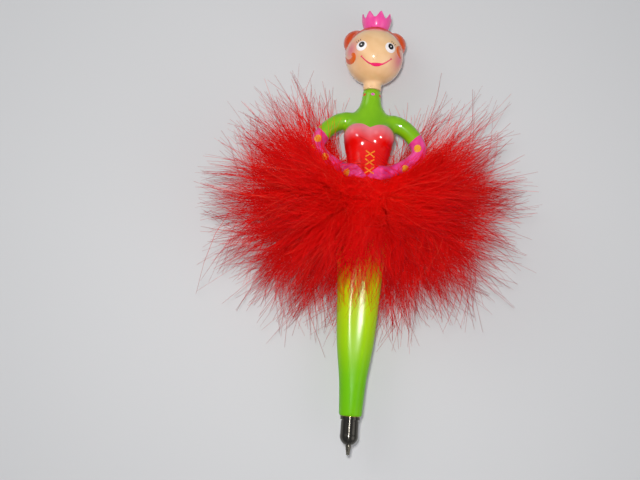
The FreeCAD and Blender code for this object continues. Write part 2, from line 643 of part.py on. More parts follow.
def row_plumes(name, side):
    """The plumes of one row on one side of the doll, at two levels by turns."""
    leave, fall, elevation, reach_share, headings = ROWS[name]
    reach = PLUME_REACH * reach_share
    made = []
    for number, heading in enumerate(headings):
        level = (number + (side > 0)) % 2
        turn = math.radians(heading)
        rise = math.radians(elevation + (LEVEL_ANGLE * level if elevation else 0))
        swing = math.radians(leave + fall * abs(math.sin(turn)))
        outward = at(side * math.cos(swing), 0, math.sin(swing))
        grip = (outward + at(0, math.sin(turn) * 0.9)).normalize()
        root = outward * CORD_RING_RADIUS + at(0, WAIST_STATION) + grip * (CORD_RADIUS + QUILL_GAP)
        aim = at(side * math.cos(turn) * math.cos(rise), math.sin(turn) * math.cos(rise), math.sin(rise))
        length = reach * (1 - REACH_FALL * math.sin(turn) ** 2)
        length *= 1 + REACH_VARIATION * math.sin(5 * heading + 40 * elevation)
        tip = at(0, WAIST_STATION) + aim * length
        knee = root + grip * (BEND_SHARE * reach) + aim * (0.1 * reach)
        if name == "ground":
            tip.z = FLOOR_GAP + TUFT_THICKNESS / 2 + LEVEL_LIFT * level - AXIS_HEIGHT
            knee.z = tip.z
        made.append(plume(root, knee, tip))
    return made


def save(name, shape):
    """Writes one piece, moved from the pen's own axis to where the pen lies."""
    piece = shape.copy()
    piece.translate(TO_ROW_FRAME)
    piece.exportStep("parts/" + name + ".step")


def main():
    """Builds and writes every piece."""
    os.makedirs("parts", exist_ok=True)
    pieces = {
        "writing_ball": writing_ball,
        "refill_tip": refill_tip,
        "refill_tube": refill_tube,
        "ink_column": ink_column,
        "nose_cone": nose_cone,
        "thread_insert": thread_insert,
        "guide_tube": guide_tube,
        "legs_barrel": legs_barrel,
        "upper_body": upper_body,
        "head": head,
        "crown": crown,
        "skirt_cord": skirt_cord,
    }
    for name, make in pieces.items():
        save(name, make())
    for name in ROWS:
        for side, word in ((-1, "left"), (1, "right")):
            for number, shape in enumerate(row_plumes(name, side), 1):
                save(f"plume_{name}_{word}_{number}", shape)


main()
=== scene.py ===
"""Looks of a novelty ballpoint pen: a lacquered doll with a feather skirt, lying on its back.

Lengths in the classes are millimetres in the pen's own frame: x across the doll, station along the
axis from the writing tip, z in front of the axis. The function pen() turns them into scene metres.
"""

import logging
import math
from dataclasses import dataclass, field
from enum import Enum

import bmesh
import bpy
import numpy as np
from bpy.types import ID, Material, Node, NodeSocket, NodeTree, Object
from mathutils import Matrix, Vector
from mathutils.bvhtree import BVHTree
from numpy import ndarray
from numpy.random import Generator

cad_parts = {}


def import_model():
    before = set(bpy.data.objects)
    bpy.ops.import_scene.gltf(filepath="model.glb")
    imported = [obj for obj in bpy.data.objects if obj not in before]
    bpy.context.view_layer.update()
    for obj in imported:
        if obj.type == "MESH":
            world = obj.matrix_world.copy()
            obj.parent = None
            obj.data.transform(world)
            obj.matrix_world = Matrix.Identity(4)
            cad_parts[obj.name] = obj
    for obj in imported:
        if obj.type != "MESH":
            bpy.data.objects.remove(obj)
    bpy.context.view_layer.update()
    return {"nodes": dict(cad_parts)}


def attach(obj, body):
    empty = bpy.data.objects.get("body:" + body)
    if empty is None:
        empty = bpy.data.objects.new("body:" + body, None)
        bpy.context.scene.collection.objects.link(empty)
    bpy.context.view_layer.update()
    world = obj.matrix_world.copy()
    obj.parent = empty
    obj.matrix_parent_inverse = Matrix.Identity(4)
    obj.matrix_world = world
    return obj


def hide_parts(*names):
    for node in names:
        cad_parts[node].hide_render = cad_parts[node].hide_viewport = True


LOG = logging.getLogger("pen")
MM = 0.001
HALF_LENGTH = 89.0312
AXIS_HEIGHT = 12.25
HEAD_STATION = 160.15
HEAD_RADIUS = 11.85
LOOK_FROM = 45.0
WELD = 0.002 * MM
BODY = "pen"


class Slot(Enum):
    """Material slots of the record; the brushes carry one, but no piece here takes its finish from it."""

    HEAD = "head_enamel"
    BODY = "body_enamel"
    LEGS = "leg_enamel"
    CROWN = "crown_enamel"
    FEATHERS = "feathers"


class Side(Enum):
    """The two sides of the doll, seen from the front; the value is the sign of x."""

    LEFT = -1
    RIGHT = 1


# Places


def pen(x: float, station: float, z: float = 0.0) -> Vector:
    """Turns a place in the pen's own frame into metres in the scene's frame."""
    return Vector((x, station - HALF_LENGTH, z + AXIS_HEIGHT)) * MM


def on_head(azimuth: float, elevation: float, radius: float = HEAD_RADIUS) -> Vector:
    """Gives a place on the ball head.

    Args:
        azimuth: Degrees round the pen's axis from straight ahead, towards +X.
        elevation: Degrees from the head's equator towards the crown.
        radius: Distance from the head's centre, in millimetres.

    Returns:
        The place in metres.
    """
    a = math.radians(azimuth)
    e = math.radians(elevation)
    ring = radius * math.cos(e)
    return pen(ring * math.sin(a), HEAD_STATION + radius * math.sin(e), ring * math.cos(a))


def seen_from_front(tree: BVHTree, x: float, station: float) -> Vector | None:
    """Finds the foremost place of a surface at a point, in metres, or None where it has none."""
    place, _, _, _ = tree.ray_cast(pen(x, station, LOOK_FROM), Vector((0, 0, -1)))
    return place


def on_front(tree: BVHTree, x: float, station: float) -> Vector:
    """Finds the place on the front of a surface at a point, or beside it one on the middle plane."""
    place = seen_from_front(tree, x, station)
    return place if place is not None else pen(x, station)


def unit(rows: ndarray) -> ndarray:
    """Scales rows of three numbers to a length of one."""
    return rows / np.linalg.norm(rows, axis=-1, keepdims=True)


def curve(starts: ndarray, middles: ndarray, ends: ndarray, t: ndarray) -> ndarray:
    """Gives places at shares t of the way along curves that lean to a middle point each."""
    return starts[:, None] * (1 - t) ** 2 + 2 * middles[:, None] * t * (1 - t) + ends[:, None] * t**2


# Mesh work


def activate(piece: Object | None = None) -> None:
    """Selects one piece alone and makes it active, or leaves nothing selected.

    Args:
        piece: The piece, or None.
    """
    for thing in list(bpy.context.selected_objects):
        thing.select_set(False)
    if piece:
        piece.select_set(True)
    bpy.context.view_layer.objects.active = piece


def smooth(piece: Object) -> None:
    """Shades a piece as one smooth surface."""
    activate(piece)
    bpy.ops.object.shade_smooth()


def put_in_scene(name: str, data: ID) -> Object:
    """Makes an object and puts it into the scene.

    Args:
        name: The object's name.
        data: Its mesh, curve, lamp or camera.

    Returns:
        The object.
    """
    thing = bpy.data.objects.new(name, data)
    bpy.context.scene.collection.objects.link(thing)
    return thing


def settle(piece: Object) -> None:
    """Applies a piece's own place, turn and scale to its mesh."""
    piece.data.transform(piece.matrix_basis)
    piece.matrix_basis = Matrix.Identity(4)


def apply_all(piece: Object) -> None:
    """Applies every modifier of a piece in order.

    Args:
        piece: The piece.
    """
    activate(piece)
    for modifier in list(piece.modifiers):
        bpy.ops.object.modifier_apply(modifier=modifier.name)


def rub(piece: Object, name: str, rounds: int, group: str = "") -> None:
    """Adds a modifier that rubs a piece's edges down, everywhere or in one group of corners.

    Args:
        piece: The piece.
        name: The modifier's name.
        rounds: How many times it is smoothed.
        group: The group of corners, or nothing for all of them.
    """
    modifier = piece.modifiers.new(name, "SMOOTH")
    modifier.factor = 0.5
    modifier.iterations = rounds
    modifier.vertex_group = group


def lacquered_copy(node: Object, name: str, cell: float, rounds: int) -> Object:
    """Copies a CAD node as one even skin with its edges rubbed down, as lacquer does.

    Args:
        node: The CAD node, which stays as it is.
        name: The new piece's name.
        cell: Size of the skin's cells, in millimetres.
        rounds: How many times the skin is smoothed.

    Returns:
        The new piece.
    """
    piece = put_in_scene(name, node.data.copy())
    piece.data.name = name
    piece.data.materials.clear()
    activate(piece)
    bpy.ops.object.mode_set(mode="EDIT")
    bpy.ops.mesh.select_all(action="SELECT")
    bpy.ops.mesh.remove_doubles(threshold=WELD)
    bpy.ops.object.mode_set(mode="OBJECT")
    skin = piece.modifiers.new("skin", "REMESH")
    skin.mode = "VOXEL"
    skin.voxel_size = cell * MM
    rub(piece, "rub", rounds)
    apply_all(piece)
    smooth(piece)
    return piece


def corners(piece: Object) -> ndarray:
    """Returns a piece's corners as rows of millimetres in the pen's own frame."""
    place = np.array([vertex.co for vertex in piece.data.vertices]) / MM
    return place + np.array([0.0, HALF_LENGTH, -AXIS_HEIGHT])


def mark(piece: Object, name: str, values: ndarray) -> None:
    """Writes one number for each corner as a named attribute that a finish can read."""
    layer = piece.data.attributes.new(name, "FLOAT", "POINT")
    layer.data.foreach_set("value", values.astype(np.float32))


def tree_of(piece: Object) -> BVHTree:
    """Builds a search tree over a piece, to find places on its surface.

    Args:
        piece: The piece.

    Returns:
        The tree.
    """
    cage = bmesh.new()
    cage.from_mesh(piece.data)
    tree = BVHTree.FromBMesh(cage)
    cage.free()
    return tree


def finish_piece(piece: Object, material: Material) -> None:
    """Gives a piece its material and body, and reports it.

    Args:
        piece: The finished piece.
        material: Its material.
    """
    piece.data.materials.clear()
    piece.data.materials.append(material)
    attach(piece, BODY)
    LOG.info("%s: %d faces", piece.name, len(piece.data.polygons))


@dataclass(frozen=True)
class Brush:
    """Paints pressed shapes of one colour onto a surface."""

    tree: BVHTree
    material: Material
    slot: Slot

    def paint(self, piece: Object, lift: float, share: float) -> None:
        """Presses a shape that straddles the surface into a thin layer of paint and finishes it.

        Args:
            piece: The shape.
            lift: Distance of the layer from the surface, in millimetres.
            share: How much of the shape's own height stays.
        """
        for vertex in piece.data.vertices:
            place, normal, _, _ = self.tree.find_nearest(vertex.co)
            height = (vertex.co - place).dot(normal)
            vertex.co = place + normal * (lift * MM + share * height)
        finish_piece(piece, self.material)


def dab(name: str, place: Vector, size: tuple[float, float, float], turn: float = 0.0) -> Object:
    """Models a rounded blob of paint before it is pressed onto a surface.

    Args:
        name: The piece's name.
        place: Its centre, in metres.
        size: Its radii, in millimetres.
        turn: Degrees that it is turned about the vertical.

    Returns:
        The blob.
    """
    activate()
    bpy.ops.mesh.primitive_uv_sphere_add(segments=40, ring_count=24, radius=MM, location=place)
    piece = bpy.context.active_object
    piece.name = name
    piece.data.name = name
    piece.scale = size
    piece.rotation_euler = (0, 0, math.radians(turn))
    bpy.context.view_layer.update()
    settle(piece)
    smooth(piece)
    return piece


def stroke(name: str, places: list[Vector], widths: list[float], ring: int = 4) -> Object:
    """Models a brush stroke as a round bead along smooth points, before it is pressed on.

    Args:
        name: The piece's name.
        places: Points along the stroke, in metres.
        widths: Half the stroke's width at each point, in millimetres.
        ring: Fineness of the bead's round section, as a curve's bevel resolution.

    Returns:
        The stroke as a mesh.
    """
    line = bpy.data.curves.new(name, "CURVE")
    line.dimensions = "3D"
    line.bevel_depth = MM
    line.bevel_resolution = ring
    line.resolution_u = 10
    line.use_fill_caps = True
    spline = line.splines.new("NURBS")
    spline.points.add(len(places) - 1)
    for point, place, width in zip(spline.points, places, widths):
        point.co = (*place, 1.0)
        point.radius = width
    spline.order_u = 3
    spline.use_endpoint_u = True
    activate(put_in_scene(name, line))
    bpy.ops.object.convert(target="MESH")
    piece = bpy.context.active_object
    piece.name = name
    piece.data.name = name
    smooth(piece)
    return piece


# Materials


def linear(code: str) -> tuple[float, float, float, float]:
    """Turns an sRGB hex colour into the linear colour that a shader reads.

    Args:
        code: Six hex digits after a hash.

    Returns:
        Red, green, blue and alpha.
    """
    parts = [int(code[i : i + 2], 16) / 255 for i in (1, 3, 5)]
    red, green, blue = [p / 12.92 if p <= 0.04045 else ((p + 0.055) / 1.055) ** 2.4 for p in parts]
    return red, green, blue, 1.0


def wire(tree: NodeTree, node: Node, settings: dict = None, links: dict = None) -> Node:
    """Gives a shader node its settings and the links into it.

    Args:
        tree: The material's node tree.
        node: The node.
        settings: Properties, or input values by name or number.
        links: Output sockets by the name or number of the input that they feed.

    Returns:
        The same node.
    """
    for key, value in (settings or {}).items():
        if isinstance(key, str) and hasattr(node, key):
            setattr(node, key, value)
        else:
            node.inputs[key].default_value = value
    for key, socket in (links or {}).items():
        tree.links.new(socket, node.inputs[key])
    return node


def add(tree: NodeTree, kind: str, settings: dict = None, links: dict = None) -> Node:
    """Adds a shader node of a kind, with its settings and the links into it, and returns it."""
    return wire(tree, tree.nodes.new(kind), settings, links)


def new_material(name: str) -> tuple[Material, NodeTree, Node]:
    """Starts a material.

    Args:
        name: The material's name.

    Returns:
        The material, its node tree and its main shader.
    """
    material = bpy.data.materials.new(name)
    material.use_nodes = True
    tree = material.node_tree
    tree.nodes.clear()
    shader = add(tree, "ShaderNodeBsdfPrincipled")
    add(tree, "ShaderNodeOutputMaterial", links={"Surface": shader.outputs[0]})
    return material, tree, shader


def step(tree: NodeTree, value: NodeSocket, low: float, high: float) -> NodeSocket:
    """Adds a smooth step of a value from 0 at low to 1 at high, and returns its output."""
    settings = {"interpolation_type": "SMOOTHSTEP", "From Min": low, "From Max": high}
    return add(tree, "ShaderNodeMapRange", settings, {"Value": value}).outputs["Result"]


def blend(tree: NodeTree, share: NodeSocket, first: object, second: object) -> NodeSocket:
    """Mixes two colours, each a hex code or a socket.

    Args:
        tree: The material's node tree.
        share: The second colour's share.
        first: The first colour.
        second: The second colour.

    Returns:
        The mixed colour.
    """
    mixer = add(tree, "ShaderNodeMix", {"data_type": "RGBA"}, {0: share})
    for number, colour in ((6, first), (7, second)):
        if isinstance(colour, str):
            mixer.inputs[number].default_value = linear(colour)
        else:
            tree.links.new(colour, mixer.inputs[number])
    return mixer.outputs[2]


def read_mark(tree: NodeTree, name: str) -> NodeSocket:
    """Adds a reader of a piece's named attribute and returns its number."""
    return add(tree, "ShaderNodeAttribute", {"attribute_name": name}).outputs["Fac"]


def own_place(tree: NodeTree) -> NodeSocket:
    """Adds the piece's own coordinates and returns them."""
    return add(tree, "ShaderNodeTexCoord").outputs["Object"]


def uneven(tree: NodeTree, size: float, detail: float = 2.0) -> NodeSocket:
    """Adds cloudy noise from 0 to 1, with clouds of about a size in millimetres, and returns it."""
    settings = {"Scale": 1 / (size * MM), "Detail": detail}
    return add(tree, "ShaderNodeTexNoise", settings, {"Vector": own_place(tree)}).outputs[0]


def mottled(
    tree: NodeTree, size: float, first: object, second: object, low: float = 0.3, high: float = 0.7
) -> NodeSocket:
    """Mixes soft clouds of a second colour into a first; they begin at low noise, and are full at high."""
    return blend(tree, step(tree, uneven(tree, size), low, high), first, second)


def lacquer(
    tree: NodeTree, shader: Node, colour: NodeSocket, coat: float = 1.0, rough: float = 0.05
) -> None:
    """Puts clear lacquer over sprayed paint: a hard gloss and a faint orange peel.

    Args:
        tree: The material's node tree.
        shader: Its main shader.
        colour: The paint's colour.
        coat: Weight of the clear coat.
        rough: Roughness of the clear coat.
    """
    peel = {"Height": uneven(tree, 1.6, 3.0)}
    bump = add(tree, "ShaderNodeBump", {"Strength": 0.06, "Distance": 0.00004}, peel)
    gloss = {"Roughness": 0.28, "Specular IOR Level": 0.12, "Coat IOR": 1.42}
    gloss |= {"Coat Weight": coat, "Coat Roughness": rough}
    wire(tree, shader, gloss, {"Base Color": colour, "Normal": bump.outputs[0]})


@dataclass(frozen=True)
class Lacquer:
    """Sprayed enamel under clear lacquer on moulded resin: even colour and a wet gloss."""

    name: str
    colour: str
    shade: str

    def build(self) -> Material:
        """Returns the material."""
        material, tree, shader = new_material(self.name)
        lacquer(tree, shader, mottled(tree, 5.0, self.colour, self.shade, 0.35))
        return material


@dataclass(frozen=True)
class FaceEnamel:
    """Peach enamel with airbrushed cheeks, and orange hair paint on the cap and buns."""

    name: str = "head_enamel_peach_with_airbrushed_cheeks"
    skin: str = "#F0C796"
    skin_shade: str = "#E6B782"
    cheek: str = "#D8607C"
    hair: str = "#E04E04"
    hair_shade: str = "#C83E04"
    edge: float = 0.06

    def build(self) -> Material:
        """Returns the material."""
        material, tree, shader = new_material(self.name)
        skin = mottled(tree, 7.0, self.skin, self.skin_shade, 0.35, 0.75)
        blushed = blend(tree, read_mark(tree, "cheek"), skin, self.cheek)
        hair = mottled(tree, 3.0, self.hair, self.hair_shade)
        cap = step(tree, read_mark(tree, "hair"), -self.edge, self.edge)
        lacquer(tree, shader, blend(tree, cap, blushed, hair))
        return material


@dataclass(frozen=True)
class BodyEnamel:
    """Green enamel with a red dress top, fading to pink at its edge, and pink gloves."""

    name: str = "body_enamel_green_red_and_pink"
    green: str = "#80BC0E"
    green_shade: str = "#6FAE0A"
    dress: str = "#E00A06"
    dress_edge: str = "#E27C86"
    glove: str = "#EE4F9F"
    glove_shade: str = "#D8327E"
    edge: float = 0.07

    def build(self) -> Material:
        """Returns the material."""
        material, tree, shader = new_material(self.name)
        green = mottled(tree, 9.0, self.green, self.green_shade)
        inside = read_mark(tree, "dress")
        faded = blend(tree, step(tree, inside, 0.4, 7.2), self.dress_edge, self.dress)
        dressed = blend(tree, step(tree, inside, -self.edge, self.edge), green, faded)
        glove = mottled(tree, 4.0, self.glove, self.glove_shade)
        in_glove = step(tree, read_mark(tree, "glove"), -self.edge, self.edge)
        lacquer(tree, shader, blend(tree, in_glove, dressed, glove))
        return material


@dataclass(frozen=True)
class LegEnamel:
    """Yellow-green enamel on the thighs, airbrushed to a deeper green at the ankles, satin."""

    name: str = "leg_enamel_airbrushed_green"
    thigh: str = "#C0D206"
    knee: str = "#98C60C"
    ankle: str = "#6AB60C"
    ankle_to_knee: tuple = (26, 48)
    knee_to_thigh: tuple = (43, 66)

    def build(self) -> Material:
        """Returns the material."""
        material, tree, shader = new_material(self.name)
        along = add(tree, "ShaderNodeSeparateXYZ", links={0: own_place(tree)}).outputs["Y"]
        low, high = (
            step(tree, along, *((station - HALF_LENGTH) * MM for station in fade))
            for fade in (self.ankle_to_knee, self.knee_to_thigh)
        )
        colour = blend(tree, high, blend(tree, low, self.ankle, self.knee), self.thigh)
        lacquer(tree, shader, mottled(tree, 8.0, colour, self.knee, 0.3, 2.2), 0.1, 0.15)
        return material


@dataclass(frozen=True)
class Down:
    """Dyed marabou down: matt red barbs with a sheen, painted light brightening them at the quill and
    painted shade darkening them to crimson at the tips.
    """

    name: str = "dyed_marabou_down"
    # Painted light: the root colour brightens the barbs towards the quill. Painted shade: the tip colour
    # darkens them to crimson at their ends.
    root: str = "#FF0802"
    middle: str = "#EE0A08"
    tip: str = "#980E18"
    pale: str = "#FF4A38"
    sheen: str = "#FF2412"

    def build(self) -> Material:
        """Returns the material."""
        material, tree, shader = new_material(self.name)
        along = read_mark(tree, "along")
        # Painted light from the quill to the middle, then painted shade towards the tips
        inner = blend(tree, step(tree, along, 0.1, 0.7), self.root, self.middle)
        barb = blend(tree, step(tree, along, 0.7, 1.05), inner, self.tip)
        colour = blend(tree, step(tree, read_mark(tree, "tint"), 0.72, 1.0), barb, self.pale)
        matt = {"Roughness": 0.62, "Specular IOR Level": 0.12}
        matt |= {"Sheen Weight": 0.5, "Sheen Roughness": 0.4, "Sheen Tint": linear(self.sheen)}
        wire(tree, shader, matt, {"Base Color": colour})
        return material


@dataclass(frozen=True)
class PlatedMetal:
    """Turned metal under a thin plate: fine tool rings that draw each lamp out into a bright line."""

    name: str
    colour: str
    roughness: float = 0.16
    # Gap between tool marks, drawn coarser than real so that they show
    ring_gap: float = 0.4 * math.pi

    def build(self) -> Material:
        """Returns the material."""
        material, tree, shader = new_material(self.name)
        # A wave texture of scale 1 turns through 20 radians in each unit of length
        turns = {"bands_direction": "Y", "Scale": math.tau / 20 / (self.ring_gap * MM), "Distortion": 0.4}
        rings = add(tree, "ShaderNodeTexWave", turns, {"Vector": own_place(tree)})
        height = {"Height": rings.outputs[1]}
        bump = add(tree, "ShaderNodeBump", {"Strength": 0.08, "Distance": 0.00005}, height)
        around = add(tree, "ShaderNodeTangent", {"direction_type": "RADIAL", "axis": "Y"})
        polish = {"Base Color": linear(self.colour), "Metallic": 1.0, "Roughness": self.roughness}
        polish |= {"Anisotropic": 0.85, "Anisotropic Rotation": 0.25}
        wire(tree, shader, polish, {"Tangent": around.outputs[0], "Normal": bump.outputs[0]})
        return material


@dataclass(frozen=True)
class Plain:
    """Moulded plastic or spun fibre of one colour, with a little unevenness."""

    name: str
    colour: str
    shade: str
    roughness: float
    transmission: float = 0.0

    def build(self) -> Material:
        """Returns the material."""
        material, tree, shader = new_material(self.name)
        surface = {"Roughness": self.roughness, "Transmission Weight": self.transmission}
        wire(tree, shader, surface, {"Base Color": mottled(tree, 1.2, self.colour, self.shade)})
        return material


# The doll


@dataclass
class Moulding:
    """A lacquered moulding that stands in for a CAD node, with what is painted on it.

    It takes the CAD nodes by name, and its tree searches its skin, once that is made.
    """

    nodes: dict
    tree: BVHTree | None = field(init=False, default=None)

    def brush(self, slot: Slot, name: str, colour: str, shade: str) -> Brush:
        """Returns a brush for the skin, with an enamel of its own."""
        return Brush(self.tree, Lacquer(f"{name}_enamel", colour, shade).build(), slot)


@dataclass
class Head(Moulding):
    """The ball head: skin, cap of hair, two buns and the painted face.

    Pairs of numbers on the face are degrees: azimuth, then elevation, as on_head() takes them.
    """

    cell: float = 0.34
    hairline_tilt: float = 40.0
    hairline_angle: float = 38.5
    bun_radius: float = 5.4
    bun_margin: float = 0.35
    bun_across: float = 7.6
    bun_up: float = 6.6
    bun_back: float = 2.7
    cheeks: tuple = ((-57.0, 0.0), (60.0, -13.0))
    cheek_radius: float = 5.2
    cheek_strength: float = 0.85
    eye_azimuth: float = 29.6
    eye_elevation: float = 3.2
    eye_radius: float = 2.3
    pupil_radius: float = 1.27
    glint_radius: float = 0.28
    # Each lash: its shift from the eye's middle outwards and upwards, and how far its end leans out
    lashes: tuple = ((10.6, 8.0, 3.0), (7.4, 10.6, 2.2), (3.8, 12.6, 1.2))
    lash_rise: float = 3.4
    smile: tuple = (
        *((-29.5, -18.0), (-26.5, -21.0), (-21.7, -25.8), (-13.4, -31.4), (-5.0, -34.0), (3.0, -34.6)),
        *((11.5, -33.6), (19.9, -30.8), (26.1, -26.3), (31.5, -21.6), (35.3, -18.2)),
    )
    smile_widths: tuple = (0.23, 0.23, 0.27, 0.33, 0.37, 0.37, 0.37, 0.33, 0.27, 0.23, 0.23)
    # Each dimple: its place, and degrees that it leans
    dimples: tuple = ((-29.3, -17.6, 35.0), (35.1, -17.8, -35.0))
    lips: tuple = ((-12.0, -32.2), (-6.0, -33.6), (3.4, -34.4), (13.0, -33.2), (20.0, -30.6))
    lip_widths: tuple = (0.12, 0.62, 0.82, 0.6, 0.12)
    curl_left: tuple = (
        *((-86, -6), (-79, -14.5), (-69, -21), (-57, -22.5), (-48.5, -18), (-48, -11), (-54, -9.5)),
    )
    curl_left_widths: tuple = (0.6, 0.9, 1.05, 1.15, 1.2, 1.05, 0.55)
    curl_right: tuple = ((79, 15), (66, 14.5), (53, 10), (50, 4), (54, -3), (63, -8))
    curl_right_widths: tuple = (0.7, 0.85, 1.0, 1.25, 0.95, 0.35)
    layer: float = 0.05

    def build(self) -> None:
        """Builds the head and everything painted on it."""
        skin = lacquered_copy(self.nodes["head"], "head_lacquered", self.cell, 3)
        spot = corners(skin) - np.array([0.0, HEAD_STATION, 0.0])
        mark(skin, "hair", self.inside_hair(spot))
        mark(skin, "cheek", self.cheek_spray(spot))
        finish_piece(skin, FaceEnamel().build())
        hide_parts("head")
        self.tree = tree_of(skin)
        self.paint_eyes()
        self.paint_smile()
        self.paint_curls()

    def inside_hair(self, spot: ndarray) -> ndarray:
        """Measures how far places lie inside the painted hair: the cap behind a plane, and the buns.

        Args:
            spot: Places from the head's centre, in millimetres.

        Returns:
            Millimetres inside the hair, below zero outside it.
        """
        tilt = math.radians(self.hairline_tilt)
        angle = math.radians(self.hairline_angle)
        normal = np.array([0.0, math.sin(tilt), -math.cos(tilt)])
        front = np.array([0.0, math.cos(angle), math.sin(angle)]) * HEAD_RADIUS
        inside = (spot - front) @ normal
        for side in Side:
            bun = np.array([side.value * self.bun_across, self.bun_up, -self.bun_back])
            gap = np.linalg.norm(spot - bun, axis=1)
            inside = np.maximum(inside, self.bun_radius + self.bun_margin - gap)
        return inside

    def cheek_spray(self, spot: ndarray) -> ndarray:
        """Gives the strength of the airbrushed cheeks, which fade out from their middle.

        Args:
            spot: Places from the head's centre, in millimetres.

        Returns:
            The strength at each place, from 0 to 1.
        """
        spray = np.zeros(len(spot))
        for cheek in self.cheeks:
            middle = on_head(*cheek) - pen(0, HEAD_STATION)
            gap = np.linalg.norm(spot - np.array(middle) / MM, axis=1)
            spray = np.maximum(spray, self.cheek_strength * np.exp(-((gap / self.cheek_radius) ** 2) * 1.6))
        return spray

    def paint_eyes(self) -> None:
        """Paints the whites, pupils, glints and lashes."""
        white = Lacquer("eye_white_enamel", "#F6F0EE", "#F0E6E4").build()
        black = Lacquer("pupil_black_enamel", "#0E0A0C", "#140E10").build()
        brown = self.brush(Slot.HEAD, "lash_brown", "#3A2420", "#2C1A18")
        for side in Side:
            name = side.name.lower()
            azimuth = side.value * self.eye_azimuth
            eye = (self.eye_radius, self.eye_radius * 0.94, self.eye_radius)
            under = self.tree
            # Each layer: its colour, shift in azimuth and elevation, extra radius, radii and lift
            for part, material, right, rise, out, size, lift in (
                ("eye", white, 0.0, 0.0, 0.0, eye, self.layer),
                ("pupil", black, 0.8, 2.2, 0.1, (self.pupil_radius,) * 3, 0.03),
                ("glint", white, 0.4, 2.0, 0.15, (self.glint_radius,) * 3, 0.03),
            ):
                place = on_head(azimuth + right, self.eye_elevation + rise, HEAD_RADIUS + out)
                piece = dab(f"{part}_{name}", place, size)
                Brush(under, material, Slot.HEAD).paint(piece, lift, 0.05)
                under = tree_of(piece)
            for number, (shift, rise, lean) in enumerate(self.lashes, 1):
                start = on_head(azimuth + side.value * shift, self.eye_elevation + rise)
                top = self.eye_elevation + rise + self.lash_rise
                end = on_head(azimuth + side.value * (shift + lean), top)
                hair = stroke(f"lash_{name}_{number}", [start, (start + end) / 2, end], [0.2, 0.17, 0.08], 2)
                brown.paint(hair, self.layer, 0.2)

    def paint_smile(self) -> None:
        """Paints the smile line, its dimples and the lips."""
        rose = self.brush(Slot.HEAD, "smile_rose", "#E8476A", "#DC3C60")
        magenta = self.brush(Slot.HEAD, "lips_magenta", "#F0226A", "#E41A60")
        line = stroke("smile_line", [on_head(*point) for point in self.smile], self.smile_widths)
        rose.paint(line, self.layer, 0.15)
        for number, (azimuth, elevation, lean) in enumerate(self.dimples, 1):
            dimple = dab(f"dimple_{number}", on_head(azimuth, elevation), (0.62, 0.2, 0.5), lean)
            rose.paint(dimple, self.layer, 0.1)
        mouth = stroke("lips", [on_head(*point) for point in self.lips], self.lip_widths, 6)
        magenta.paint(mouth, self.layer + 0.03, 0.12)

    def paint_curls(self) -> None:
        """Paints the two curls of hair in front of the ears."""
        orange = self.brush(Slot.HEAD, "curl_orange", "#DC5E08", "#CE4C06")
        for name, points, widths in (
            ("curl_left", self.curl_left, self.curl_left_widths),
            ("curl_right", self.curl_right, self.curl_right_widths),
        ):
            orange.paint(stroke(name, [on_head(*point) for point in points], widths, 6), self.layer, 0.14)


